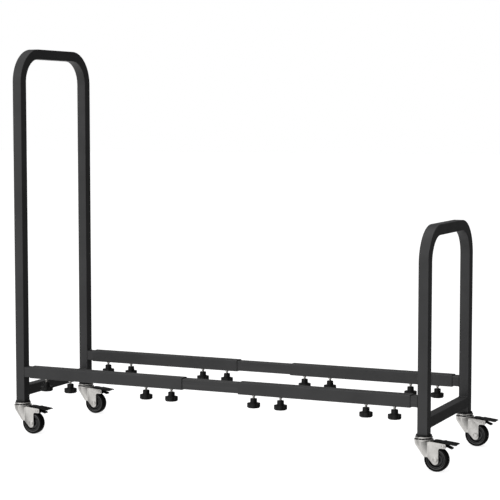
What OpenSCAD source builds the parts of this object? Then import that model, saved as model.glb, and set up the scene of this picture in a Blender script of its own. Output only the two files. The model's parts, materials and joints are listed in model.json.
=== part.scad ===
// Rolling tyre storage rack: a tall and a short end frame, two telescopic rails and four braked casters.
// X runs along the rails with the tall push frame at -X, Y runs from the front rail to the rear rail,
// Z is up and the wheels stand on z = 0. The origin is under the middle of the whole rack.

/* [End frames] */
// Distance between the two end frames, leg centre to leg centre
frame_spacing = 1105; // [1040:5:1180]
// Distance between the front and rear legs, centre to centre
leg_pitch = 326; // [280:2:380]
// Height of the tall push frame above the floor
tall_height = 1004.5; // [850:0.5:1100]
// Height of the short frame above the floor
short_height = 575.5; // [450:0.5:700]
// Outer size of the square frame tube, and of the stubs and middle tubes
tube = 26; // [24:0.5:27]
// Wall of the square frame tube
tube_wall = 1.5; // [1.2:0.1:2]
// Outer corner radius of the square tube
tube_corner = 2; // [1.5:0.1:3]
// Centre line radius of the bends at the top of each frame
bend_radius = 75; // [50:1:110]
// Height of the crossbar's centre line above the floor
crossbar_height = 112.5; // [103:0.5:120]

/* [Rails] */
// Height of the rails' centre line above the floor
rail_height = 163; // [160.5:0.5:200]
// Length of each outer sleeve
sleeve_length = 444.5; // [400:0.5:450]
// Wall of the outer sleeve
sleeve_wall = 1.5; // [1.2:0.1:2.5]
// Gap on each side between the sleeve and the tube inside it
slide_gap = 0.5; // [0.3:0.1:0.8]
// Stretch of stub that shows between a leg and its sleeve
stub_visible = 17.5; // [10:0.5:30]
// Length of each stub that is welded to a leg
stub_length = 180; // [150:5:200]
// Length of each middle tube
middle_length = 500; // [400:5:520]

/* [Clamp knobs] */
// Distance between the two knobs of a pair
knob_pitch = 72; // [50:1:80]
// Distance from the leg end of a sleeve to its first knob
outer_knob_inset = 42.5; // [30:0.5:50]
// Distance from the middle end of a sleeve to its first knob
inner_knob_inset = 36; // [30:0.5:50]
// Diameter of the lobed knob head
knob_d = 32.5; // [26:0.5:36]
// Height of the lobed knob head
knob_head_h = 11.7; // [8:0.1:14]
// Diameter of the knob's neck
knob_neck_d = 17.3; // [14:0.1:20]
// Height of the knob's neck
knob_neck_h = 11.3; // [8:0.1:14]
// Diameter of the knob's screw
screw_d = 6; // [5:0.5:8]
// Lobes around the knob head
knob_lobes = 7; // [5:1:9]

/* [Casters] */
// Wheel diameter
wheel_d = 59; // [56:0.5:60]
// Width of the wheel's tyre
wheel_width = 20; // [17:0.5:21]
// Distance that the wheel trails behind its swivel axis
trail = 32.5; // [31.5:0.5:34]
// Height of the leg bottoms above the floor
leg_bottom = 85.5; // [84.5:0.5:88.5]
// Diameter of the swivel crown
crown_d = 46; // [42:1:50]
// Thickness of the fork's pressed plate
fork_plate = 2; // [1.5:0.1:2.5]
// Balls in each swivel race
ball_count = 12; // [8:1:14]

/* [Hidden] */
$fn = 64;

// Clearances
running = 0.06;      // radial, between a turning shaft and its bore
free_gap = 0.3;      // between faces that pass each other
bond_gap = 0.05;     // between pieces that are pressed or bonded together
cut = 1;             // how far a cutting shape runs past a face

// Frame and rails
sleeve = tube + 2 * (sleeve_wall + slide_gap);
sleeve_corner = tube_corner + 0.5;
rail_y = leg_pitch / 2;
sleeve_outer_end = frame_spacing / 2 - tube / 2 - stub_visible;
sleeve_centre = sleeve_outer_end - sleeve_length / 2;
sleeve_inner_end = sleeve_outer_end - sleeve_length;

// Knobs: distances of a sleeve's four knobs from the middle of the rack, from the middle outwards
KNOB_X = [
    sleeve_inner_end + inner_knob_inset,
    sleeve_inner_end + inner_knob_inset + knob_pitch,
    sleeve_outer_end - outer_knob_inset - knob_pitch,
    sleeve_outer_end - outer_knob_inset,
];
nut_top_d = screw_d + 4.5;
nut_bottom_d = screw_d + 2;
nut_h = 4;
rail_bottom = rail_height - sleeve / 2;
screw_tip = rail_height - tube / 2 - free_gap;
neck_top = rail_bottom - nut_h - 5;
knob_bottom = neck_top - knob_neck_h - knob_head_h;
lobe_groove_r = 3.2;

// Caster heights, from the leg downwards
collar_h = 3;
race_h = 4.5;
ball_gap = 2;
crown_h = 4;
race_top = leg_bottom - collar_h;
race_bottom = race_top - race_h;
crown_top = race_bottom - ball_gap;
crown_bottom = crown_top - crown_h;
ball_z = (race_bottom + crown_top) / 2;

// Caster sizes
collar_d = 38;
race_d = 42;
ball_r = 2.2;
ball_track_r = 15;
stem_r = 5;
stem_length = 26;
kingpin_head_r = 8.5;
kingpin_head_h = 3;
socket_length = 30;
socket_plug_h = 24;
wheel_r = wheel_d / 2;
fork_inner = 12;
fork_outer = fork_inner + fork_plate;
axle_r = 4;
axle_head_r = 5.6;
axle_head_h = 1.6;
axle_nut_r = 6.5;
axle_nut_h = 4.5;
hub_r = 21;
hub_boss_r = 9;
hub_rim = 3;
hub_web = 7;
tread_corner = 4;

// Fork outline, as distances behind the swivel axis and heights above the floor
fold_x = 12.6;
crown_inset = 0.5;
shoulder_z = 62.5;
shoulder_r = 20.8;
apron_bottom = 35;
apron_nose_x = 9.3;
apron_nose_r = 8.5;
boss = [31.8, 26];
boss_r = 8.2;
rear_edge = boss.x + boss_r;
pivot = [51, 63];
pivot_r = 2.5;
lug_end = 57.6;
lug_top = 68.8;
lug_bottom = 57.5;
lug_corner = 2.5;
rear_fillet = 5;
web_start = crown_d / 2 - 4;
web_end = 36;

// Pedal
pedal_half = 10;
wing_half = 15;
pedal_tip = 84.5;
pedal_plate = 2;
pedal_eye_r = 5.5;
shoe_r = 2.5;
shoe_gap = 0.5;
shoe_reach = norm(pivot - [trail, wheel_r]) - wheel_r - shoe_gap;
brake_angle = 16;

// The rack reaches further at +X, where the pedals point, so its middle is not the frames' middle
middle_x = (pedal_tip - crown_d / 2) / 2;

ENDS = [["left", -1], ["right", 1]];
SIDES = [["front", -1], ["rear", 1]];
KNOBS = [1, 2, 3, 4, 5, 6, 7, 8];

CORNERS = [for (side = SIDES) for (end = ENDS) [str(side[0], "_", end[0]), side[1], end[1]]];
CASTER_PIECES = ["swivel_stem", "fork", "axle", "wheel_hub", "wheel_tyre", "brake_pedal"];
FRAME_PIECES = ["crossbar", "rail_stubs", "leg_inserts", "swivel_balls"];

function x_of_frame(end) = end * frame_spacing / 2 - middle_x;

// Knobs 1 to 8 run from left to right along a rail
function knob_x(k) = (k <= 4 ? -KNOB_X[4 - k] : KNOB_X[k - 5]) - middle_x;

// The point where a line from p touches the circle of radius r around c, on its lower left side
function touch_point(p, c, r) =
    let (away = norm(c - p))
    let (angle = atan2(c.y - p.y, c.x - p.x) - asin(r / away))
    p + sqrt(away * away - r * r) * [cos(angle), sin(angle)];

// ---- Square tube ----

module rounded_square(size, corner) {
    square([size, size - 2 * corner], center = true);
    square([size - 2 * corner, size], center = true);
    for (x = [-1, 1], y = [-1, 1])
        translate([x, y] * (size / 2 - corner))
            circle(corner);
}

module tube_section(size, wall, corner) {
    difference() {
        rounded_square(size, corner);
        rounded_square(size - 2 * wall, max(corner - wall, 0.5));
    }
}

module tube_along_x(length, size, wall, corner) {
    rotate([0, 90, 0])
        linear_extrude(length, center = true)
            tube_section(size, wall, corner);
}

// ---- End frames ----

// A solid inverted U in the YZ plane, starting at height base
module inverted_u(height, base, size, corner) {
    top_line = height - tube / 2;
    bend_z = top_line - bend_radius;
    bend_y = rail_y - bend_radius;
    for (side = [0, 1])
        mirror([0, side, 0]) {
            translate([0, rail_y, base])
                linear_extrude(bend_z - base)
                    rounded_square(size, corner);
            translate([0, bend_y, bend_z])
                rotate([90, 0, 90])
                    rotate_extrude(angle = 90)
                        translate([bend_radius, 0])
                            rounded_square(size, corner);
        }
    translate([0, 0, top_line])
        rotate([90, 0, 0])
            linear_extrude(2 * bend_y, center = true)
                rounded_square(size, corner);
}

module end_frame(height) {
    difference() {
        inverted_u(height, leg_bottom, tube, tube_corner);
        inverted_u(height, leg_bottom - cut, tube - 2 * tube_wall, tube_corner - tube_wall);
    }
}

module left_push_frame() {
    color("#2b2c2e")
        translate([x_of_frame(-1), 0, 0])
            end_frame(tall_height);
}

module right_end_frame() {
    color("#2b2c2e")
        translate([x_of_frame(1), 0, 0])
            end_frame(short_height);
}

module crossbar(end) {
    color("#2b2c2e")
        translate([x_of_frame(end), 0, crossbar_height])
            rotate([0, 0, 90])
                tube_along_x(leg_pitch - tube, tube, tube_wall, tube_corner);
}

// The two short inner tubes welded to the inner faces of one frame's legs
module rail_stubs(end) {
    color("#2b2c2e")
        for (side = [-1, 1])
            translate([x_of_frame(end) - end * (tube + stub_length) / 2, side * rail_y, rail_height])
                tube_along_x(stub_length, tube, tube_wall, tube_corner);
}

// The two plugs in one frame's leg ends, each with a collar and a socket for the caster's stem
module leg_inserts(end) {
    plug = tube - 2 * tube_wall - 2 * bond_gap;
    color("#1c1c1d")
        for (side = [-1, 1])
            translate([x_of_frame(end), side * rail_y, 0])
                difference() {
                    union() {
                        translate([0, 0, race_top])
                            cylinder(h = collar_h, d = collar_d);
                        translate([0, 0, leg_bottom - cut])
                            linear_extrude(socket_plug_h + cut)
                                rounded_square(plug, 1.5);
                    }
                    translate([0, 0, race_top - cut])
                        cylinder(h = socket_length + cut, r = stem_r + bond_gap);
                }
}

// ---- Rails ----

module sleeve_tube(side, end) {
    color("#2f3032")
        difference() {
            translate([end * sleeve_centre - middle_x, side * rail_y, rail_height])
                tube_along_x(sleeve_length, sleeve, sleeve_wall, sleeve_corner);
            for (x = KNOB_X)
                translate([end * x - middle_x, side * rail_y, rail_bottom - cut])
                    cylinder(h = sleeve_wall + 2 * cut, d = screw_d + 2 * free_gap);
        }
}

// The four tapered, threaded nuts welded under one sleeve
module weld_nuts(side, end) {
    color("#2f3032")
        for (x = KNOB_X)
            translate([end * x - middle_x, side * rail_y, rail_bottom - nut_h])
                difference() {
                    cylinder(h = nut_h, d1 = nut_bottom_d, d2 = nut_top_d);
                    translate([0, 0, -cut])
                        cylinder(h = nut_h + 2 * cut, d = screw_d + 2 * running);
                }
}

module middle_tube(side) {
    color("#2b2c2e")
        translate([-middle_x, side * rail_y, rail_height])
            tube_along_x(middle_length, tube, tube_wall, tube_corner);
}

// ---- Clamp knobs ----

// A lobed head and a neck, moulded around a screw that presses on the tube inside the sleeve
module clamp_knob(side, k) {
    chamfer = 1.2;
    head_r = knob_d / 2;
    color("#161617")
        translate([knob_x(k), side * rail_y, knob_bottom]) {
            difference() {
                rotate_extrude()
                    polygon([
                        [0, 0],
                        [head_r - 2 * chamfer, 0],
                        [head_r, chamfer],
                        [head_r, knob_head_h - chamfer],
                        [head_r - chamfer, knob_head_h],
                        [0, knob_head_h],
                    ]);
                for (lobe = [0 : knob_lobes - 1])
                    rotate(lobe * 360 / knob_lobes)
                        translate([head_r + 1, 0, -cut])
                            cylinder(h = knob_head_h + 2 * cut, r = lobe_groove_r);
            }
            translate([0, 0, knob_head_h - cut])
                cylinder(h = knob_neck_h + cut, d = knob_neck_d);
            translate([0, 0, knob_head_h])
                cylinder(h = screw_tip - knob_bottom - knob_head_h, d = screw_d);
        }
}

// ---- Casters ----

// Puts a caster piece, drawn around the swivel axis with the wheel trailing to +X, under its leg
module at_corner(side, end) {
    translate([x_of_frame(end), side * rail_y, 0])
        children();
}

// A disc around the swivel axis between two heights, with a rounded rim
module rimmed_disc(r, bottom, top) {
    rim = (top - bottom) / 2;
    translate([0, 0, bottom])
        cylinder(h = top - bottom, r = r - rim);
    translate([0, 0, bottom + rim])
        rotate_extrude()
            translate([r - rim, 0])
                circle(rim);
}

module ball_groove() {
    translate([0, 0, ball_z])
        rotate_extrude()
            translate([ball_track_r, 0])
                circle(ball_r + free_gap + 0.1);
}

// The stem that screws into the leg, with its upper race, and the kingpin that carries the fork
module swivel_stem() {
    kingpin_bottom = crown_bottom - fork_plate - free_gap - kingpin_head_h;
    color("silver") {
        difference() {
            rimmed_disc(race_d / 2, race_bottom, race_top);
            ball_groove();
        }
        translate([0, 0, kingpin_bottom])
            cylinder(h = race_top + stem_length - kingpin_bottom, r = stem_r);
        translate([0, 0, kingpin_bottom])
            cylinder(h = kingpin_head_h, r = kingpin_head_r);
    }
}

module swivel_balls(end) {
    color("lightgray")
        for (side = [-1, 1])
            at_corner(side, end)
                for (i = [0 : ball_count - 1])
                    rotate(i * 360 / ball_count)
                        translate([ball_track_r, 0, ball_z])
                            sphere(ball_r);
}

// Turns an outline of (x, height) into a plate of thickness t, centred on y = 0
module upright_plate(t) {
    rotate([90, 0, 0])
        linear_extrude(t, center = true)
            children();
}

module fork_side_outline() {
    nose = touch_point([fold_x, apron_bottom], boss, boss_r);
    fillet = [rear_edge + rear_fillet, lug_bottom - rear_fillet];
    lug_x = lug_end - lug_corner;
    difference() {
        union() {
            polygon([
                [fold_x, crown_bottom + cut],
                [fold_x, apron_bottom],
                nose,
                boss,
                [rear_edge, boss.y],
                [rear_edge, fillet.y],
                [fillet.x, fillet.y],
                [fillet.x, lug_bottom],
                [lug_x, lug_bottom],
                [lug_x, lug_top],
                [web_start, crown_bottom],
                [web_start, crown_bottom + cut],
            ]);
            polygon([
                [lug_x - cut, lug_bottom + lug_corner],
                [lug_end, lug_bottom + lug_corner],
                [lug_end, lug_top - lug_corner],
                [lug_x - cut, lug_top - lug_corner],
            ]);
            for (z = [lug_bottom + lug_corner, lug_top - lug_corner])
                translate([lug_x, z])
                    circle(lug_corner);
            translate(boss)
                circle(boss_r);
        }
        translate(fillet)
            circle(rear_fillet);
    }
}

// The sheet between the side plates, from the crown down towards the lugs
module fork_web() {
    end_z = crown_bottom + (lug_top - crown_bottom) * (web_end - web_start) / (lug_end - lug_corner - web_start);
    upright_plate(2 * fork_outer)
        polygon([
            [0, crown_bottom - fork_plate],
            [0, crown_bottom],
            [web_start, crown_bottom],
            [web_end, end_z],
            [web_end, end_z - fork_plate],
            [web_start, crown_bottom - fork_plate],
        ]);
}

// The closed front of the fork, a solid that tapers from the round crown over a shoulder to a flat nose between
// the fold lines, drawn smaller by inset and then carried on past its lower edge
module apron_body(inset) {
    half = fork_outer - inset;
    slab = 0.5;
    run = (shoulder_r + apron_nose_x - apron_nose_r) / (shoulder_z - apron_bottom);
    nose_y = fork_outer - apron_nose_r;
    back = fold_x + inset;
    hull() {
        intersection() {
            union() {
                translate([0, 0, crown_bottom])
                    cylinder(h = slab, r = crown_d / 2 - crown_inset - inset);
                translate([0, 0, shoulder_z])
                    cylinder(h = slab, r = shoulder_r - inset);
            }
            translate([-crown_d, -crown_d, 0])
                cube([crown_d, 2 * crown_d, crown_top]);
        }
        translate([0, -half, crown_bottom])
            cube([back, 2 * half, slab]);
        intersection() {
            for (y = [-1, 1])
                translate([apron_nose_x + run * inset, y * nose_y, apron_bottom - inset])
                    cylinder(h = slab, r = apron_nose_r - inset);
            translate([back - crown_d, -crown_d, 0])
                cube([crown_d, 2 * crown_d, crown_top]);
        }
        translate([back - cut, -half, apron_bottom - inset])
            cube([cut, 2 * half, slab]);
    }
}

module fork() {
    color("gainsboro")
        difference() {
            union() {
                rimmed_disc(crown_d / 2, crown_bottom, crown_top);
                difference() {
                    apron_body(0);
                    apron_body(fork_plate);
                }
                fork_web();
                for (y = [-1, 1])
                    translate([0, y * (fork_inner + fork_plate / 2), 0])
                        upright_plate(fork_plate)
                            fork_side_outline();
            }
            ball_groove();
            cylinder(h = crown_top + cut, r = stem_r + running);
            translate([trail, 0, wheel_r])
                rotate([90, 0, 0])
                    cylinder(h = 4 * fork_outer, r = axle_r + bond_gap, center = true);
            translate([pivot.x, 0, pivot.y])
                rotate([90, 0, 0])
                    cylinder(h = 4 * fork_outer, r = pivot_r + running, center = true);
        }
}

// The axle bolt, with its round head at -Y and its hexagon nut at +Y
module axle() {
    shank = 2 * fork_outer + axle_nut_h + 1.5;
    color("silver")
        translate([trail, 0, wheel_r])
            rotate([-90, 0, 0]) {
                translate([0, 0, -fork_outer])
                    cylinder(h = shank, r = axle_r);
                translate([0, 0, -fork_outer - axle_head_h])
                    cylinder(h = axle_head_h, r = axle_head_r);
                translate([0, 0, fork_outer])
                    cylinder(h = axle_nut_h, r = axle_nut_r, $fn = 6);
            }
}

module wheel_hub() {
    half_boss = fork_inner - free_gap;
    half_rim = wheel_width / 2 - 1;
    color("#3a3a3c")
        translate([trail, 0, wheel_r])
            rotate([90, 0, 0])
                rotate_extrude()
                    polygon([
                        [axle_r + running, -half_boss],
                        [hub_boss_r, -half_boss],
                        [hub_boss_r, -hub_web / 2],
                        [hub_r - hub_rim, -hub_web / 2],
                        [hub_r - hub_rim, -half_rim],
                        [hub_r, -half_rim],
                        [hub_r, half_rim],
                        [hub_r - hub_rim, half_rim],
                        [hub_r - hub_rim, hub_web / 2],
                        [hub_boss_r, hub_web / 2],
                        [hub_boss_r, half_boss],
                        [axle_r + running, half_boss],
                    ]);
}

module wheel_tyre() {
    half = wheel_width / 2;
    inner = hub_r + bond_gap;
    color("#111112")
        translate([trail, 0, wheel_r])
            rotate([90, 0, 0])
                rotate_extrude()
                    difference() {
                        union() {
                            translate([0, -half])
                                square([wheel_r - tread_corner, 2 * half]);
                            translate([0, tread_corner - half])
                                square([wheel_r, 2 * (half - tread_corner)]);
                            for (y = [-1, 1])
                                translate([wheel_r - tread_corner, y * (half - tread_corner)])
                                    circle(tread_corner);
                        }
                        translate([0, -half - cut])
                            square([inner, 2 * (half + cut)]);
                    }
}

// A foot plate over the fork with a lower release blade, a brake shoe and the pin that it rocks on
module brake_pedal() {
    plate_start = crown_d / 2 + 2.5;
    plate_rise = 72.7;
    shoe_angle = atan2(wheel_r - pivot.y, trail - pivot.x) + brake_angle;
    shoe = pivot + (shoe_reach - shoe_r) * [cos(shoe_angle), sin(shoe_angle)];
    pin_end = fork_outer + free_gap;
    pin_head_h = 1.2;
    color("#141415") {
        upright_plate(2 * pedal_half)
            polygon([
                [plate_start, plate_rise],
                [plate_start, plate_rise + pedal_plate],
                [pivot.x, plate_rise + pedal_plate - 0.6],
                [pivot.x + 10, plate_rise + pedal_plate - 1.6],
                [pivot.x + 10, plate_rise - 1.6],
                [pivot.x + 4, plate_rise - 1],
                [pivot.x + 4, pivot.y + 2],
                [72, 59],
                [71, 56.8],
                [pivot.x + 3, pivot.y - 4.5],
                [pivot.x - 4, pivot.y],
                [pivot.x - 5, plate_rise],
            ]);
        upright_plate(2 * wing_half)
            polygon([
                [pivot.x - 4, plate_rise - 0.3],
                [pivot.x - 6, plate_rise + pedal_plate],
                [pivot.x + 8, plate_rise + pedal_plate - 0.8],
                [pedal_tip, 69.5],
                [pedal_tip, 67.7],
                [pivot.x + 8, plate_rise - 1],
            ]);
        upright_plate(2 * pedal_half)
            translate(pivot)
                circle(pedal_eye_r);
        upright_plate(2 * pedal_half - 4) {
            translate(shoe)
                circle(shoe_r);
            polygon([pivot + [-4, -2], pivot + [4, -2], shoe + [shoe_r, 0], shoe - [shoe_r, 0]]);
        }
        translate([pivot.x, 0, pivot.y])
            rotate([90, 0, 0]) {
                cylinder(h = 2 * pin_end + 2 * pin_head_h, r = pivot_r, center = true);
                for (z = [-1, 1])
                    translate([0, 0, z * (pin_end + pin_head_h / 2)])
                        cylinder(h = pin_head_h, r = pivot_r + 1.2, center = true);
            }
    }
}

// ---- The rack ----

left_push_frame();
right_end_frame();

for (end = ENDS) {
    name = end[0];
    crossbar(end[1]);
    rail_stubs(end[1]);
    leg_inserts(end[1]);
    swivel_balls(end[1]);
}

for (side = SIDES) {
    middle_tube(side[1]);
    for (k = KNOBS)
        clamp_knob(side[1], k);
}

for (corner = CORNERS) {
    name = corner[0];
    side = corner[1];
    end = corner[2];
    sleeve_tube(side, end);
    weld_nuts(side, end);
    at_corner(side, end) swivel_stem();
    at_corner(side, end) fork();
    at_corner(side, end) axle();
    at_corner(side, end) wheel_hub();
    at_corner(side, end) wheel_tyre();
    at_corner(side, end) brake_pedal();
}
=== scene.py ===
"""Looks of the rolling tyre storage rack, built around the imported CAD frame."""
import json
import math

import bmesh
import bpy
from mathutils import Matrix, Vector


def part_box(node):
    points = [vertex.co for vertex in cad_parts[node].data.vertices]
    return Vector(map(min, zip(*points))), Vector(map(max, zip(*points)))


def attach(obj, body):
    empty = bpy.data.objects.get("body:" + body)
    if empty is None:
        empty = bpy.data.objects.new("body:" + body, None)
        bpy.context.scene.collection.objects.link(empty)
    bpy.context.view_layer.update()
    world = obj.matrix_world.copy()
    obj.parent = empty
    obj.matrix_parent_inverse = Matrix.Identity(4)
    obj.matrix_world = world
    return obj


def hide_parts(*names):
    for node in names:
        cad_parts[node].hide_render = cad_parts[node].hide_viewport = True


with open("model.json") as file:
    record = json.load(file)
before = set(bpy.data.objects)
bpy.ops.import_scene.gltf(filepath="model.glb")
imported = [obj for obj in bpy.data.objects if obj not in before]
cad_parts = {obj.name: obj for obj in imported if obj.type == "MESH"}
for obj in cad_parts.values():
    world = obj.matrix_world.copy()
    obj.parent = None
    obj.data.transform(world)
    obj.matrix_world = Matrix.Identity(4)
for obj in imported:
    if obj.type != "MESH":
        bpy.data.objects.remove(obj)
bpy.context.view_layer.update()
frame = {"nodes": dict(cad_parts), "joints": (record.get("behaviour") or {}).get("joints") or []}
MM = 0.001
CORNERS = ("front_left", "front_right", "rear_left", "rear_right")
ANCHORS = {joint["name"]: Vector(joint["pos_m"]) for joint in frame["joints"] if "pos_m" in joint}

# Caster sizes in millimetres: distances behind the swivel axis and heights above the floor.
# SHEET is how thick the fork's steel is, HALF is half the fork's width, and at FOLD_X its front meets its
# sides.
CROWN_R, CROWN_TOP, CROWN_BOTTOM = 23.0, 76.0, 72.0
RACE_TOP, RACE_BOTTOM = 82.5, 78.0
BALL_TRACK, BALL_Z, GROOVE_R = 15.0, 77.0, 2.5
STEM_R, STEM_TOP, PIN_HEAD_LOW = 5.0, 108.5, 66.7
SHEET = 2.0
HALF = 14.0
FOLD_X = 12.6
SHOULDER_Z, SHOULDER_R = 62.5, 20.8
NOSE_Z, NOSE_X, NOSE_R = 35.0, 9.3, 8.5
BOSS, BOSS_R = (31.8, 26.0), 8.2
LUG_END, LUG_TOP, LUG_BOTTOM, LUG_CORNER, FILLET = 57.6, 68.8, 57.5, 2.5, 5.0
WEB_START, WEB_END = 19.0, 36.0
PIVOT_EYE_R, SHOE_R, SHOE_GAP, SHOE_TURN = 5.5, 2.5, 0.5, 16
PEDAL_HALF, WING = 10.0, 5.0
PLATE_START, PLATE_END, PLATE_TOP, PLATE_SHEET = 25.5, 84.5, 74.5, 1.8
GRIP_RIDGES = (66, 71.5, 77)
BLADE_START, BLADE_REACH, BLADE_TOP, BLADE_HALF = 54.0, 18.0, 65.1, 9.8
AXLE_R, NUT_R, NUT_HALF_FLAT = 4.0, 6.5, 5.6
WHEEL_HALF, SIDE_RING_R = 10.0, 24.3

# Clamp knob sizes in millimetres
KNOB_R, HEAD_H, NECK_TOP, LOBES = 16.25, 11.7, 23.0, 7
LOBE_DEPTH, LOBE_START_R = 1.5, 9.5
LOBE_PHASE = math.radians(11.7)
THREAD_ROOT, THREAD_CREST, PITCH = 2.45, 3.0, 1.0

# Weld bead sizes in millimetres
BEAD_R, BEAD_STEP, TUBE_CORNER = 1.15, 0.6, 2.0


# ---- Mesh tools: shapes are drawn in millimetres, as lists of vertices and faces ----

def turned(profile, steps=72, radius_at=None, closed=False):
    """A profile of (radius, height) turned around Z. radius_at(radius, height, angle) may shape each ring."""
    verts, rings, faces = [], [], []
    for r, z in profile:
        ring = []
        for k in range(1 if r == 0 else steps):
            angle = 2 * math.pi * k / steps
            reach = radius_at(r, z, angle) if radius_at else r
            ring.append(len(verts))
            verts.append((reach * math.cos(angle), reach * math.sin(angle), z))
        rings.append(ring)
    pairs = list(zip(rings, rings[1:]))
    if closed:
        pairs.append((rings[-1], rings[0]))
    for low, high in pairs:
        for k in range(steps):
            n = (k + 1) % steps
            if len(low) == 1:
                faces.append((low[0], high[n], high[k]))
            elif len(high) == 1:
                faces.append((low[k], low[n], high[0]))
            else:
                faces.append((low[k], low[n], high[n], high[k]))
    return verts, faces


def slab(outline, low, high):
    """An outline of (x, z) made as thick as low to high along Y."""
    n = len(outline)
    verts = [(x, low, z) for x, z in outline] + [(x, high, z) for x, z in outline]
    faces = [tuple(range(n)), tuple(range(n, 2 * n))]
    faces += [(k, (k + 1) % n, n + (k + 1) % n, n + k) for k in range(n)]
    return verts, faces


def sheet(rows, thickness):
    """A sheet whose one side runs through rows of points, and whose other side lies thickness behind it."""
    count, width = len(rows), len(rows[0])
    front = [[Vector(p) for p in row] for row in rows]
    verts = [tuple(p) for row in front for p in row]
    for i in range(count):
        for j in range(width):
            along = front[min(i + 1, count - 1)][j] - front[max(i - 1, 0)][j]
            across = front[i][min(j + 1, width - 1)] - front[i][max(j - 1, 0)]
            verts.append(tuple(front[i][j] - along.cross(across).normalized() * thickness))
    back = count * width
    faces = []
    for i in range(count - 1):
        for j in range(width - 1):
            a = i * width + j
            faces.append((a, a + 1, a + width + 1, a + width))
            faces.append((back + a, back + a + width, back + a + width + 1, back + a + 1))
    rim = list(range(width))
    rim += [i * width + width - 1 for i in range(1, count)]
    rim += [(count - 1) * width + j for j in range(width - 2, -1, -1)]
    rim += [i * width for i in range(count - 2, 0, -1)]
    for a, b in zip(rim, rim[1:] + rim[:1]):
        faces.append((a, back + a, back + b, b))
    return verts, faces


def tube_ring(centres, axes, sides=8):
    """A closed tube through centres; axes gives two vectors for each centre that span the tube's section."""
    verts, faces = [], []
    count = len(centres)
    for centre, (u, v) in zip(centres, axes):
        for k in range(sides):
            angle = 2 * math.pi * k / sides
            verts.append(tuple(centre + u * math.cos(angle) + v * math.sin(angle)))
    for i in range(count):
        for k in range(sides):
            n = (k + 1) % sides
            i2 = (i + 1) % count
            faces.append((i * sides + k, i * sides + n, i2 * sides + n, i2 * sides + k))
    return verts, faces


def thread(root_r, crest_r, pitch, low, high, steps=24):
    """The surface of a screw thread around Z."""
    total = int((high - low) / pitch * steps)
    verts, faces = [], []
    for k in range(total + 1):
        angle = 2 * math.pi * k / steps
        z = low + pitch * k / steps
        verts.append((root_r * math.cos(angle), root_r * math.sin(angle), z))
        verts.append((crest_r * math.cos(angle), crest_r * math.sin(angle), z + pitch / 2))
    for k in range(total):
        faces.append((2 * k, 2 * k + 2, 2 * k + 3, 2 * k + 1))
    for k in range(total - steps):
        up = k + steps
        faces.append((2 * k + 1, 2 * k + 3, 2 * up + 2, 2 * up))
    return verts, faces


def arc(centre, r, start, end, count=10):
    """Points on an arc, with angles in degrees."""
    points = []
    for k in range(count + 1):
        angle = math.radians(start + (end - start) * k / count)
        points.append((centre[0] + r * math.cos(angle), centre[1] + r * math.sin(angle)))
    return points


def shifted(part, x=0.0, y=0.0, z=0.0):
    verts, faces = part
    return [(a + x, b + y, c + z) for a, b, c in verts], faces


def laid_along_y(part):
    """Turns a part from the Z axis to the Y axis, so that +Z becomes -Y."""
    verts, faces = part
    return [(a, -c, b) for a, b, c in verts], faces


def make_mesh(name, parts, material, hidden=None, hidden_material=None):
    """One mesh from parts. Each part is (vertices, faces) or (vertices, faces, bevel width). The faces whose
    centre in millimetres passes the test hidden get hidden_material."""
    mesh = bpy.data.meshes.new(name)
    whole = bmesh.new()
    for part in parts:
        piece = bmesh.new()
        made = [piece.verts.new(Vector(v) * MM) for v in part[0]]
        for face in part[1]:
            piece.faces.new([made[k] for k in face])
        bmesh.ops.recalc_face_normals(piece, faces=piece.faces)
        if len(part) > 2:
            edges = [e for e in piece.edges if e.is_manifold and e.calc_face_angle() > math.radians(30)]
            bmesh.ops.bevel(piece, geom=edges, offset=part[2] * MM, segments=2, profile=0.5,
                            affect="EDGES", clamp_overlap=True)
        held = bpy.data.meshes.new("held")
        piece.to_mesh(held)
        piece.free()
        whole.from_mesh(held)
        bpy.data.meshes.remove(held)
    for face in whole.faces:
        face.smooth = True
        if hidden and hidden(face.calc_center_median() / MM):
            face.material_index = 1
    for edge in whole.edges:
        if edge.is_manifold and edge.calc_face_angle() > math.radians(38):
            edge.smooth = False
    whole.to_mesh(mesh)
    whole.free()
    mesh.materials.append(material)
    if hidden:
        mesh.materials.append(hidden_material)
    return mesh


def place(name, mesh, at, body, slot, *nodes):
    """Puts a piece at a point of the frame, on a CAD body, in place of the CAD nodes named."""
    piece = bpy.data.objects.new(name, mesh)
    bpy.context.collection.objects.link(piece)
    piece.location = at
    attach(piece, body)
    if nodes:
        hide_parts(*nodes)
    return piece


# ---- Materials ----

# Width in millimetres of the band along an edge that is painted lighter, partly as rub-through wear and
# partly as a painted edge highlight
EDGE_WEAR_AND_HIGHLIGHT_WIDTH = 0.7


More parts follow.
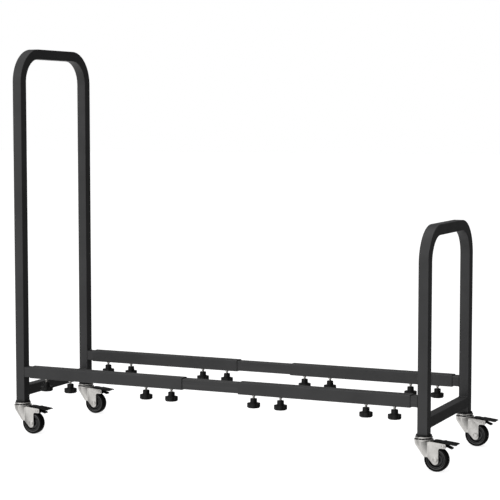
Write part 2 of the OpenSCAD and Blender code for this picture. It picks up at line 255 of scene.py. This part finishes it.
def finish(name, shades, roughness, metallic=0.0, patch=25.0, grain=1200.0, depth=0.03, stretch=None,
           edge_wear_and_highlight=None, specular=0.5):
    """A surface with drifting shade and roughness and a fine bump, depth in millimetres. patch and grain are
    how fine the drift and the bump are. stretch draws the drift out along an axis, and
    edge_wear_and_highlight is the lighter shade painted along the edges, partly as rub-through wear and
    partly as a painted edge highlight."""
    material = bpy.data.materials.new(name)
    material.use_nodes = True
    nodes, links = material.node_tree.nodes, material.node_tree.links
    shader = nodes["Principled BSDF"]
    shader.inputs["Metallic"].default_value = metallic
    shader.inputs["Specular IOR Level"].default_value = specular
    place_on = nodes.new("ShaderNodeTexCoord").outputs["Object"]

    def noise(scale, detail, spread=None):
        source = place_on
        if spread:
            mapping = nodes.new("ShaderNodeMapping")
            mapping.inputs["Scale"].default_value = spread
            links.new(source, mapping.inputs["Vector"])
            source = mapping.outputs["Vector"]
        texture = nodes.new("ShaderNodeTexNoise")
        texture.inputs["Scale"].default_value = scale
        texture.inputs["Detail"].default_value = detail
        links.new(source, texture.inputs["Vector"])
        return texture.outputs["Fac"]

    def ranged(value, low, high, to_low, to_high):
        mapped = nodes.new("ShaderNodeMapRange")
        for socket, number in zip(mapped.inputs[1:5], (low, high, to_low, to_high)):
            socket.default_value = number
        links.new(value, mapped.inputs[0])
        return mapped.outputs[0]

    def mixed(factor, first, second):
        mix = nodes.new("ShaderNodeMix")
        mix.data_type = "RGBA"
        links.new(factor, mix.inputs["Factor"])
        for socket, colour in ((mix.inputs["A"], first), (mix.inputs["B"], second)):
            if isinstance(colour, tuple):
                socket.default_value = (*colour, 1)
            else:
                links.new(colour, socket)
        return mix.outputs["Result"]

    colour = mixed(ranged(noise(patch, 5, stretch), 0.35, 0.65, 0, 1), shades[0], shades[1])
    rough = ranged(noise(patch * 2.3, 6, stretch), 0.3, 0.7, roughness[0], roughness[1])
    # Edges painted lighter: partly rub-through wear, partly a painted edge highlight
    if edge_wear_and_highlight:
        bevel = nodes.new("ShaderNodeBevel")
        bevel.samples = 4
        bevel.inputs["Radius"].default_value = EDGE_WEAR_AND_HIGHLIGHT_WIDTH * MM
        dot = nodes.new("ShaderNodeVectorMath")
        dot.operation = "DOT_PRODUCT"
        links.new(bevel.outputs["Normal"], dot.inputs[0])
        links.new(nodes.new("ShaderNodeNewGeometry").outputs["Normal"], dot.inputs[1])
        edge = ranged(dot.outputs["Value"], 0.99, 0.86, 0, 1)
        wear_and_highlight_mask = nodes.new("ShaderNodeMath")
        wear_and_highlight_mask.operation = "MULTIPLY"
        links.new(edge, wear_and_highlight_mask.inputs[0])
        links.new(ranged(noise(90, 4), 0.45, 0.7, 0.15, 1), wear_and_highlight_mask.inputs[1])
        colour = mixed(wear_and_highlight_mask.outputs[0], colour, edge_wear_and_highlight)
    links.new(colour, shader.inputs["Base Color"])
    links.new(rough, shader.inputs["Roughness"])
    bump = nodes.new("ShaderNodeBump")
    bump.inputs["Strength"].default_value = 1.0
    bump.inputs["Distance"].default_value = depth * MM
    links.new(noise(grain, 2), bump.inputs["Height"])
    links.new(bump.outputs["Normal"], shader.inputs["Normal"])
    return material


POWDER = finish("powder_coat", ((0.027, 0.027, 0.028), (0.034, 0.034, 0.035)), (0.46, 0.58),
                patch=9, grain=1100, depth=0.035, edge_wear_and_highlight=(0.05, 0.05, 0.051))
SLIDING = finish("powder_coat_sliding", ((0.026, 0.026, 0.027), (0.037, 0.037, 0.038)), (0.38, 0.56),
                 patch=60, grain=1100, depth=0.025, stretch=(0.06, 1.6, 1.6), edge_wear_and_highlight=(0.06, 0.06, 0.06))
ZINC = finish("zinc_plate", ((0.575, 0.562, 0.541), (0.656, 0.641, 0.618)), (0.26, 0.40),
              metallic=1.0, patch=130, grain=1600, depth=0.008)
BEARING = finish("bearing_steel", ((0.55, 0.55, 0.56), (0.65, 0.65, 0.65)), (0.1, 0.2),
                 metallic=1.0, patch=200, grain=2000, depth=0.002)
# Near-black steel for the faces in the gap between the races: painted shade for the narrow, dark gap
GAP_SHADE_STEEL = finish("steel_painted_gap_shade", ((0.010, 0.009, 0.008), (0.022, 0.020, 0.017)), (0.3, 0.5),
                 patch=150, grain=900, depth=0.02, specular=0.3)
KNOB = finish("knob_moulding", ((0.009, 0.009, 0.009), (0.013, 0.013, 0.013)), (0.42, 0.55),
              patch=60, grain=2400, depth=0.02, edge_wear_and_highlight=(0.02, 0.02, 0.02), specular=0.25)
PLASTIC = finish("black_moulding", ((0.006, 0.006, 0.006), (0.009, 0.009, 0.009)), (0.4, 0.5),
                 patch=60, grain=2200, depth=0.015, specular=0.3)
PEDAL = finish("pedal_coat", ((0.005, 0.005, 0.005), (0.008, 0.008, 0.008)), (0.42, 0.55),
               patch=70, grain=1300, depth=0.02, edge_wear_and_highlight=(0.02, 0.02, 0.02), specular=0.17)
HUB = finish("hub_moulding", ((0.015, 0.015, 0.016), (0.021, 0.021, 0.022)), (0.3, 0.42),
             patch=80, grain=2200, depth=0.015, specular=0.6)
RUBBER = finish("rubber", ((0.003, 0.003, 0.003), (0.005, 0.005, 0.005)), (0.5, 0.62),
                patch=110, grain=1500, depth=0.03, specular=0.12)
SIDEWALL = finish("smooth_rubber", ((0.006, 0.006, 0.006), (0.010, 0.010, 0.010)), (0.20, 0.28),
                  patch=110, grain=1500, depth=0.008, specular=0.95)


def finish_cad_nodes():
    """Gives every CAD mesh its finish. Those of the casters and knobs are replaced by pieces further down."""
    for name, node in frame["nodes"].items():
        material = POWDER
        if name.endswith("_balls"):
            material = BEARING
        elif name.endswith("_inserts"):
            material = PLASTIC
        elif name.endswith("_weld_nuts"):
            material = ZINC
        elif name.endswith(("_stubs", "_middle_tube")):
            material = SLIDING
        node.data.materials.clear()
        node.data.materials.append(material)


# ---- Casters ----

def groove(side):
    """The ball groove's section, on the underside (side 1) or the top (side -1) of a race."""
    points = []
    for x in (-2.3, -1.8, -1.0, 0, 1.0, 1.8, 2.3):
        points.append((BALL_TRACK + x, BALL_Z + side * math.sqrt(GROOVE_R ** 2 - x ** 2)))
    return points


def in_ball_gap(point):
    """True for the faces between the two races, painted near-black as the shade in the narrow ball gap."""
    return CROWN_TOP - 1.6 < point.z < RACE_BOTTOM + 1.6 and math.hypot(point.x, point.y) < 20.4


def apron_front(z, angle):
    """The point of the fork's closed front at a height, at an angle from straight ahead."""
    if z >= SHOULDER_Z:
        rise = (CROWN_BOTTOM + 0.5 - z) / (CROWN_BOTTOM + 0.5 - SHOULDER_Z)
        r = SHOULDER_R + (CROWN_R - 0.5 - SHOULDER_R) * (1 - rise ** 1.6)
        return -r * math.cos(angle), r * math.sin(angle)
    share = (z - NOSE_Z) / (SHOULDER_Z - NOSE_Z)
    side = math.copysign(HALF - NOSE_R, angle) if angle else 0.0
    nose_x = NOSE_X - NOSE_R * math.cos(angle)
    nose_y = side + NOSE_R * math.sin(angle)
    top_x = -SHOULDER_R * math.cos(angle)
    top_y = SHOULDER_R * math.sin(angle)
    return nose_x + (top_x - nose_x) * share, nose_y + (top_y - nose_y) * share


def apron():
    """The fork's closed front, from the crown down to the nose, with soft folds into the side plates."""
    heights = [NOSE_Z + 2.5 * k for k in range(12)] + [64.0, 65.5, 67.0, 68.5, 70.0, 71.5, 72.5]
    rows = []
    for z in heights:
        row = [(FOLD_X + 1.4, -HALF - 0.03, z), (FOLD_X + 0.5, -HALF - 0.02, z)]
        for k in range(-12, 13):
            angle = math.radians(7.5 * k)
            x, y = apron_front(z, angle)
            row.append((x, y, z))
        row += [(FOLD_X + 0.5, HALF + 0.02, z), (FOLD_X + 1.4, HALF + 0.03, z)]
        rows.append(row)
    softened = []
    for row in rows:
        first, last = Vector(row[2]), Vector(row[-3])
        start = first.lerp(Vector((FOLD_X, -HALF, first.z)), 0.93)
        end = last.lerp(Vector((FOLD_X, HALF, last.z)), 0.93)
        softened.append(row[:2] + [tuple(start)] + row[2:-2] + [tuple(end)] + row[-2:])
    return sheet(softened, SHEET)


def plate_outline():
    """One side plate of the fork, seen from the side."""
    reach = math.hypot(BOSS[0] - FOLD_X, BOSS[1] - NOSE_Z)
    heading = math.degrees(math.atan2(BOSS[1] - NOSE_Z, BOSS[0] - FOLD_X) - math.asin(BOSS_R / reach))
    lug_x = LUG_END - LUG_CORNER
    points = [(FOLD_X, CROWN_BOTTOM + 0.4), (FOLD_X, NOSE_Z)]
    points += arc(BOSS, BOSS_R, heading - 90, 0, 18)
    points += arc((BOSS[0] + BOSS_R + FILLET, LUG_BOTTOM - FILLET), FILLET, 180, 90, 8)
    points += arc((lug_x, LUG_BOTTOM + LUG_CORNER), LUG_CORNER, -90, 0, 6)
    points += arc((lug_x, LUG_TOP - LUG_CORNER), LUG_CORNER, 0, 82, 6)
    points += [(WEB_START, CROWN_BOTTOM), (WEB_START - 1, CROWN_BOTTOM + 0.4)]
    return points


def fork_mesh():
    """The pressed fork: crown with the lower race, closed front, web behind the crown, two side plates."""
    crown = [(STEM_R + 0.2, CROWN_BOTTOM), (STEM_R + 0.2, CROWN_TOP - 0.4), (12.4, CROWN_TOP - 0.4)]
    crown += groove(-1)
    crown += [(17.6, CROWN_TOP - 0.2), (19.6, CROWN_TOP)]
    crown += arc((21.4, CROWN_TOP - 1.6), 1.6, 90, -20, 8)
    crown += [(22.75, CROWN_BOTTOM + 1.1), (22.5, CROWN_BOTTOM)]
    crown += [(20.0, CROWN_BOTTOM - 1.4), (8.0, CROWN_BOTTOM - 1.4)]
    slope = (LUG_TOP - CROWN_BOTTOM) / (LUG_END - LUG_CORNER - WEB_START)
    web_line = [(FOLD_X - 4, CROWN_BOTTOM), (WEB_START, CROWN_BOTTOM)]
    web_line.append((WEB_END, CROWN_BOTTOM + slope * (WEB_END - WEB_START)))
    web = [(x, z - 0.05) for x, z in web_line] + [(x, z - SHEET) for x, z in reversed(web_line)]
    parts = [turned(crown, closed=True), apron(), (*slab(web, 0.8 - HALF, HALF - 0.8), 0.3)]
    for low, high in ((-HALF, SHEET - HALF), (HALF - SHEET, HALF)):
        parts.append((*slab(plate_outline(), low, high), 0.4))
    wheel_x, wheel_z = wheel_offset.x / MM, wheel_offset.z / MM
    washer = [(4.1, 0), (4.1, 0.5), (6.2, 0.5), (6.6, 0.25), (6.6, 0)]
    for side in (-1, 1):
        ring = turned([(r, side * (HALF + z)) for r, z in washer], closed=True)
        parts.append(shifted(laid_along_y(ring), wheel_x, 0, wheel_z))
    return make_mesh("fork", parts, ZINC, in_ball_gap, GAP_SHADE_STEEL)


def stem_mesh():
    """The upper race on its stem, whose headed lower end is the kingpin."""
    race = [(STEM_R, RACE_BOTTOM + 0.2), (12.4, RACE_BOTTOM + 0.2)]
    race += groove(1)
    race += [(17.6, RACE_BOTTOM + 0.1), (18.6, RACE_BOTTOM)]
    race += arc((19.1, RACE_BOTTOM + 2.1), 1.9, -70, 75, 12)
    race += [(18.3, RACE_TOP - 0.25), (17.0, RACE_TOP), (STEM_R, RACE_TOP)]
    pin_head = [(0, 0), (4.0, 0.1), (6.6, 0.7), (8.2, 1.7), (8.5, 2.6), (8.4, 3.0), (STEM_R, 3.0)]
    stem = [(r, PIN_HEAD_LOW + z) for r, z in pin_head]
    stem += [(STEM_R, STEM_TOP - 1), (STEM_R - 1, STEM_TOP), (0, STEM_TOP)]
    return make_mesh("swivel_stem", [turned(race, closed=True), turned(stem, 48)], ZINC, in_ball_gap, GAP_SHADE_STEEL)


def axle_mesh():
    """Axle bolt with a low head at -Y and a chamfered hexagon nut and thread end at +Y."""
    head = [(0, 0.1), (3.2, 0.05), (4.6, -0.15), (5.3, -0.55), (5.6, -1.1), (5.6, -1.6), (AXLE_R, -1.6)]
    bolt = [(AXLE_R, -35.2), (3.3, -35.9), (0, -35.9)]
    top = HALF + 1.6
    parts = [laid_along_y(turned([(r, top + z) for r, z in head + bolt], 48))]
    nut_low, nut_high = -HALF - 0.5, -HALF - 5.0

    def hexagon(r, z, angle):
        flat = NUT_HALF_FLAT / math.cos((angle + math.pi / 6) % (math.pi / 3) - math.pi / 6)
        return min(r, flat) if r > 4.5 else r

    nut = [(AXLE_R, nut_low), (6.1, nut_low), (NUT_R, nut_low - 0.4), (NUT_R, nut_high + 0.4),
           (6.0, nut_high), (4.4, nut_high), (AXLE_R, nut_high + 0.4)]
    parts.append(laid_along_y(turned(nut, 96, hexagon, closed=True)))
    parts.append(laid_along_y(thread(3.6, 4.05, PITCH, -HALF - 6.4, -HALF - 4.0)))
    return make_mesh("axle", parts, ZINC)


def tyre_mesh(wheel_r):
    """The solid tyre: smooth side rings by the hub, a groove, rounded shoulders and a nearly flat tread."""
    half, inner = WHEEL_HALF, 21.05
    side = [(inner, -half + 0.9), (inner + 0.2, -half + 0.1), (inner + 0.6, -half - 0.1), (22.4, -half + 0.1),
            (23.2, -half + 0.4), (SIDE_RING_R - 0.3, -half + 0.8), (SIDE_RING_R, -half + 1.2),
            (24.5, -half + 1.2), (24.8, -half + 0.6), (25.3, -half + 0.3)]
    side += arc((wheel_r - 4.2, -half + 4.2), 4.0, -75, -5, 8)
    side += [(wheel_r - 0.1, -4.0), (wheel_r, -1.5)]
    profile = side + [(r, -z) for r, z in reversed(side)]
    ring = laid_along_y(turned(profile, 96, closed=True))

    def in_side_ring(point):
        """True for the smooth ring between the tyre's tread and the hub."""
        return math.hypot(point.x, point.z) < SIDE_RING_R

    return make_mesh("wheel_tyre", [ring], RUBBER, in_side_ring, SIDEWALL)


def hub_mesh():
    """The hub: a long boss on the axle, a dished web and a raised rim beside the tyre."""
    side = [(4.06, -11.7), (6.6, -11.7), (7.6, -11.4), (8.4, -10.4), (8.8, -6.6), (9.6, -4.6), (11.0, -3.8),
            (13.0, -3.5), (15.2, -3.8), (16.6, -4.8), (17.4, -6.6), (17.8, -9.0), (18.1, -9.6), (18.7, -9.7),
            (19.8, -9.3), (20.4, -8.8), (20.8, -7.8), (21.0, -7.6)]
    profile = side + [(r, -z) for r, z in reversed(side)]
    return make_mesh("wheel_hub", [laid_along_y(turned(profile, 96, closed=True))], HUB)


def smooth_step(value, low, high):
    """Rises smoothly from 0 at low to 1 at high."""
    share = min(1, max(0, (value - low) / (high - low)))
    return share * share * (3 - 2 * share)


def foot_plate():
    """The upper blade: narrow by the fork, flaring to wings with turned-down edges and three grip ridges."""
    rows = []
    steps = 74
    for i in range(steps + 1):
        x = PLATE_START + (PLATE_END - PLATE_START) * i / steps
        top = PLATE_TOP - 1.3 * smooth_step(x, 34, 46) - 3.5 * max(0.0, (x - 50) / 34.5) ** 1.2
        half = PEDAL_HALF + WING * smooth_step(x, 45.5, 48.5) - 3.5 * smooth_step(x, 80.5, 85.5)
        ridge = sum(max(0.0, 1 - ((x - at) / 1.1) ** 2) for at in GRIP_RIDGES)
        row = []
        for k in range(-10, 11):
            y = half * k / 10
            drop = 2.0 * smooth_step(abs(k) / 10, 0.78, 1.0) * smooth_step(x, 49, 58)
            grip = 0.75 * ridge * (1 - smooth_step(abs(k) / 10, 0.62, 0.74))
            row.append((x, y, top - drop + grip))
        rows.append(row)
    return sheet(rows, PLATE_SHEET)


def release_blade():
    """The short lower blade that lifts the pedal, bent down towards its end."""
    rows = []
    for i in range(20):
        share = i / 19
        x = BLADE_START + BLADE_REACH * share
        top = BLADE_TOP - 4.4 * share - 2.4 * share ** 2
        half = BLADE_HALF - 3.0 * smooth_step(share, 0.8, 1.06)
        row = [(x, half * k / 6, top - 0.5 * (k / 6) ** 4) for k in range(-6, 7)]
        rows.append(row)
    return sheet(rows, PLATE_SHEET)


def pedal_mesh(pivot, wheel):
    """Foot plate, release blade, cheeks around the pivot and the brake shoe over the wheel."""
    eye = (pivot.x / MM, pivot.z / MM)
    rest_angle = math.atan2(wheel.z - pivot.z, wheel.x - pivot.x) + math.radians(SHOE_TURN)
    reach = (pivot - wheel).length / MM - wheel.z / MM - SHOE_GAP - SHOE_R
    shoe = (eye[0] + reach * math.cos(rest_angle), eye[1] + reach * math.sin(rest_angle))
    cheek = [(43.5, 72.5), (43.0, 70.0)]
    cheek += arc(eye, PIVOT_EYE_R, 200, 226, 3)
    cheek += arc(shoe, SHOE_R, 190, 350, 10)
    cheek += arc(eye, PIVOT_EYE_R, -40, 20, 8)
    cheek += [(58.8, 69.0), (58.8, 71.6)]
    parts = [foot_plate(), release_blade()]
    for low, high in ((-PEDAL_HALF, -8.4), (8.4, PEDAL_HALF)):
        parts.append((*slab(cheek, low, high), 0.3))
    end = [(SHOE_R, 8.2), (2.2, 8.5), (0, 8.5)]
    bar = laid_along_y(turned([(r, -z) for r, z in reversed(end)] + end, 32))
    parts.append(shifted(bar, shoe[0], 0, shoe[1]))
    bridge = [(52.5, 67.0), (56.5, 65.3), (57.5, 63.7), (55.0, 62.9), (52.0, 64.7)]
    parts.append((*slab(bridge, -8.6, 8.6), 0.3))
    return make_mesh("brake_pedal", parts, PEDAL)


def rivet_mesh(pivot):
    """The pin that the pedal rocks on, with a domed head over each side plate."""
    half = [(3.6, HALF + 0.3), (3.7, HALF + 0.5), (3.4, HALF + 1.0), (2.4, HALF + 1.4), (0, HALF + 1.5)]
    profile = [(r, -z) for r, z in reversed(half)] + [(2.5, -HALF - 0.3), (2.5, HALF + 0.3)] + half
    pin = laid_along_y(turned(profile, 32))
    return make_mesh("pedal_rivet", [shifted(pin, pivot.x / MM, 0, pivot.z / MM)], ZINC)


def swivel_foot(corner):
    """The point on the floor under a caster's swivel axis."""
    at = ANCHORS[corner + "_swivel_turn"]
    return Vector((at.x, at.y, 0))


first_foot = swivel_foot(CORNERS[0])
wheel_offset = ANCHORS[CORNERS[0] + "_wheel_roll"] - first_foot
pivot_offset = ANCHORS[CORNERS[0] + "_brake_press"] - first_foot


def make_casters():
    """Four casters that share one mesh for each kind of piece."""
    fork, stem, axle = fork_mesh(), stem_mesh(), axle_mesh()
    tyre, hub = tyre_mesh(wheel_offset.z / MM), hub_mesh()
    pedal, rivet = pedal_mesh(pivot_offset, wheel_offset), rivet_mesh(pivot_offset)
    for corner in CORNERS:
        foot = swivel_foot(corner)
        wheel = ANCHORS[corner + "_wheel_roll"]
        end = corner.split("_")[1] + "_frame"
        swivel, turning, brake = corner + "_swivel", corner + "_wheel", corner + "_brake"
        place(corner + "_fork_pressing", fork, foot, swivel, "zinc_plated_steel", corner + "_fork")
        place(corner + "_swivel_race", stem, foot, end, "zinc_plated_steel", corner + "_swivel_stem")
        place(corner + "_axle_bolt", axle, wheel, swivel, "zinc_plated_steel", corner + "_axle")
        place(corner + "_tyre_moulding", tyre, wheel, turning, "wheel_rubber", corner + "_wheel_tyre")
        place(corner + "_hub_moulding", hub, wheel, turning, "wheel_plastic", corner + "_wheel_hub")
        place(corner + "_pedal_plate", pedal, foot, brake, "black_plastic", corner + "_brake_pedal")
        place(corner + "_pedal_rivet", rivet, foot, brake, "zinc_plated_steel")


# ---- Clamp knobs ----

def lobed(r, z, angle):
    """Cuts a round groove between each two lobes of the knob's head."""
    if z > HEAD_H + 0.05 or r < LOBE_START_R:
        return r
    depth = LOBE_DEPTH * abs(math.cos(LOBES * (angle - LOBE_PHASE) / 2)) ** 8
    return r - depth * (r - LOBE_START_R) / (KNOB_R - LOBE_START_R)


def make_knobs():
    """Sixteen knobs, each a moulded grip around a threaded screw."""
    head = [(0, 0.9), (5.6, 0.9), (6.2, 0.4), (7.0, 0.15), (11.5, 0), (13.8, 0), (14.8, 0.4), (15.8, 1.3),
            (KNOB_R, 2.2), (KNOB_R, 10.4), (16.1, 11.1), (15.6, 11.6), (14.9, HEAD_H), (9.6, HEAD_H),
            (9.0, 11.9), (8.65, 12.5), (8.6, 13.4), (8.45, 21.8), (8.1, 22.7), (7.4, NECK_TOP),
            (3.4, NECK_TOP), (3.2, 22.6), (3.1, 21.5), (0, 21.5)]
    grip = make_mesh("clamp_knob", [turned(head, LOBES * 18, lobed)], KNOB)
    low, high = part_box("front_knob_1")
    tip = (high.z - low.z) / MM
    start = NECK_TOP - 1
    core = [(0, start), (2.4, start), (2.4, tip - 0.6), (1.8, tip), (0, tip)]
    ridges = thread(THREAD_ROOT, THREAD_CREST, PITCH, start, tip - 0.7)
    screw = make_mesh("knob_screw", [turned(core, 24), ridges], ZINC)
    for side in ("front", "rear"):
        for k in range(1, 9):
            node = f"{side}_knob_{k}"
            axis_at = ANCHORS[node + "_turn"]
            at = Vector((axis_at.x, axis_at.y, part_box(node)[0].z))
            place(node + "_grip", grip, at, node + "_turning", "knob_plastic", node)
            place(node + "_screw", screw, at, node + "_turning", "zinc_plated_steel")


# ---- Weld beads ----

def bead(centre, half, axis):
    """A rippled bead around the square end of a tube that butts on a leg. axis points away from the leg."""
    axis = Vector(axis)
    up = Vector((0, 0, 1))
    side = up.cross(axis)
    straight = half - TUBE_CORNER
    path = []
    for sign_side, sign_up, start in ((1, 1, 0), (-1, 1, 90), (-1, -1, 180), (1, -1, 270)):
        path += arc((sign_side * straight, sign_up * straight), TUBE_CORNER, start, start + 90, 3)
    dense = []
    for a, b in zip(path, path[1:] + path[:1]):
        length = math.dist(a, b)
        count = max(1, round(length / BEAD_STEP))
        for k in range(count):
            dense.append((a[0] + (b[0] - a[0]) * k / count, a[1] + (b[1] - a[1]) * k / count))
    centres, axes = [], []
    for k, (s, u) in enumerate(dense):
        if abs(s) > abs(u):
            out = side * s + up * u * max(0.0, (abs(u) - straight) / TUBE_CORNER)
        else:
            out = up * u + side * s * max(0.0, (abs(s) - straight) / TUBE_CORNER)
        out.normalize()
        flush = abs(out.dot(side))
        ripple = 1 + 0.13 * math.sin(2 * math.pi * k / 4) + 0.06 * math.sin(k * 0.37)
        r = BEAD_R * ripple
        middle = Vector(centre) / MM + side * s + up * u
        middle += axis * 0.25 - out * (0.45 * flush)
        centres.append(middle)
        axes.append((axis * r, out * r))
    return tube_ring(centres, axes)


def make_welds():
    """For each end frame, beads where the crossbar and the two rail stubs butt on the legs."""
    for end, inward in (("left", 1), ("right", -1)):
        name = "left_push_frame" if end == "left" else "right_end_frame"
        low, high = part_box(name)
        bar_low, bar_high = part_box(end + "_crossbar")
        stub_low, stub_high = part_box(end + "_rail_stubs")
        half = (bar_high.z - bar_low.z) / 2 / MM
        leg_x = (low.x + high.x) / 2
        bar_z = (bar_low.z + bar_high.z) / 2
        stub_z = (stub_low.z + stub_high.z) / 2
        inner_face = high.x if inward > 0 else low.x
        parts = []
        for face_y, away in ((bar_low.y, 1), (bar_high.y, -1)):
            parts.append(bead((leg_x, face_y, bar_z), half, (0, away, 0)))
        for leg_y in (low.y + half * MM, high.y - half * MM):
            parts.append(bead((inner_face, leg_y, stub_z), half, (inward, 0, 0)))
        mesh = make_mesh(end + "_welds", parts, POWDER)
        place(end + "_weld_beads", mesh, (0, 0, 0), end + "_frame", "powder_coated_steel")


# ---- Stage: floor, light and camera ----

AMBIENT = 0.11
# Bright areas of the studio: direction of the middle, cosine of the angle at which they end, and strength
BRIGHT_AREAS = (
    ((-0.25, -0.96, 0.12), 0.58, 0.92),
    ((-0.62, 0.45, -0.64), 0.35, 0.90),
    ((-0.10, -0.20, 0.97), 0.30, 0.55),
    ((-0.20, -0.50, -0.84), 0.62, 0.62),
)
# The camera, from the point on the floor midway between the frames, in metres and degrees
CAMERA_AT = Vector((1.740, -3.747, 0.8275))
CAMERA_AZIMUTH, CAMERA_ELEVATION, CAMERA_LENS = 24.54, 4.69, 116.6
FLOOR_SHADE, FLOOR_GLOW, FLOOR_SIZE = 0.6, 0.80, 60
# Lamps: place from the same point, size in metres, and power in watts. They point at AIM_AT
AIM_AT = Vector((0, 0, 0.4))
KEY_LIGHT = (Vector((-2.2, -3.2, 2.6)), (2.4, 2.4), 22)
TOP_LIGHT = (Vector((0, 0, 4)), (4, 3), 30)


def middle_between_frames():
    """The point on the floor midway between the two end frames."""
    left_low, left_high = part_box("left_push_frame")
    right_low, right_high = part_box("right_end_frame")
    x = (left_low[0] + left_high[0] + right_low[0] + right_high[0]) / 4
    return Vector((x, 0, 0))


def make_camera(centre):
    """The photograph's viewpoint."""
    data = bpy.data.cameras.new("camera")
    data.sensor_width = 36
    data.lens = CAMERA_LENS
    camera = bpy.data.objects.new("camera", data)
    bpy.context.collection.objects.link(camera)
    camera.location = centre + CAMERA_AT
    camera.rotation_euler = (math.radians(90 - CAMERA_ELEVATION), 0, math.radians(CAMERA_AZIMUTH))
    bpy.context.scene.camera = camera


def soft_light(name, centre, lamp_at, size, power):
    """A rectangular lamp."""
    data = bpy.data.lights.new(name, "AREA")
    data.shape = "RECTANGLE"
    data.size, data.size_y = size
    data.energy = power
    lamp = bpy.data.objects.new(name, data)
    bpy.context.collection.objects.link(lamp)
    lamp.location = centre + lamp_at
    lamp.rotation_euler = (AIM_AT - lamp_at).to_track_quat("-Z", "Y").to_euler()


def make_world():
    """White for the camera. For the light on the rack it is dim with bright areas: one ahead of the rack, one
    overhead, and the floor at its left and in front of it."""
    world = bpy.data.worlds.new("studio")
    bpy.context.scene.world = world
    world.use_nodes = True
    nodes, links = world.node_tree.nodes, world.node_tree.links
    direction = nodes.new("ShaderNodeTexCoord").outputs["Generated"]
    total = None
    for towards, edge, strength in BRIGHT_AREAS:
        dot = nodes.new("ShaderNodeVectorMath")
        dot.operation = "DOT_PRODUCT"
        dot.inputs[1].default_value = Vector(towards).normalized()
        links.new(direction, dot.inputs[0])
        lit = nodes.new("ShaderNodeMapRange")
        lit.interpolation_type = "SMOOTHSTEP"
        for socket, number in zip(lit.inputs[1:5], (edge, 1.0, 0.0, strength)):
            socket.default_value = number
        links.new(dot.outputs["Value"], lit.inputs[0])
        add = nodes.new("ShaderNodeMath")
        links.new(lit.outputs[0], add.inputs[0])
        if total:
            links.new(total, add.inputs[1])
        else:
            add.inputs[1].default_value = AMBIENT
        total = add.outputs[0]
    mix = nodes.new("ShaderNodeMix")
    links.new(nodes.new("ShaderNodeLightPath").outputs["Is Camera Ray"], mix.inputs["Factor"])
    links.new(total, mix.inputs["A"])
    mix.inputs["B"].default_value = 1.0
    background = nodes["Background"]
    links.new(mix.outputs["Result"], background.inputs["Strength"])
    background.inputs["Color"].default_value = (1, 1, 1, 1)


def make_floor(centre):
    """A glowing floor that is nearly white all over, so that the wheels' shadows stay faint."""
    bpy.ops.mesh.primitive_plane_add(size=FLOOR_SIZE, location=centre)
    floor = bpy.context.object
    floor.name = "floor"
    material = bpy.data.materials.new("pale_floor")
    material.use_nodes = True
    shader = material.node_tree.nodes["Principled BSDF"]
    shader.inputs["Base Color"].default_value = (FLOOR_SHADE, FLOOR_SHADE, FLOOR_SHADE, 1)
    shader.inputs["Roughness"].default_value = 1.0
    shader.inputs["Specular IOR Level"].default_value = 0.0
    shader.inputs["Emission Color"].default_value = (1, 1, 1, 1)
    shader.inputs["Emission Strength"].default_value = FLOOR_GLOW
    floor.data.materials.append(material)
    floor.visible_glossy = False
    floor.visible_diffuse = False


finish_cad_nodes()
make_casters()
make_knobs()
make_welds()
centre = middle_between_frames()
make_camera(centre)
make_world()
make_floor(centre)
soft_light("key_light", centre, *KEY_LIGHT)
soft_light("top_light", centre, *TOP_LIGHT)
bpy.context.scene.view_settings.view_transform = "Standard"
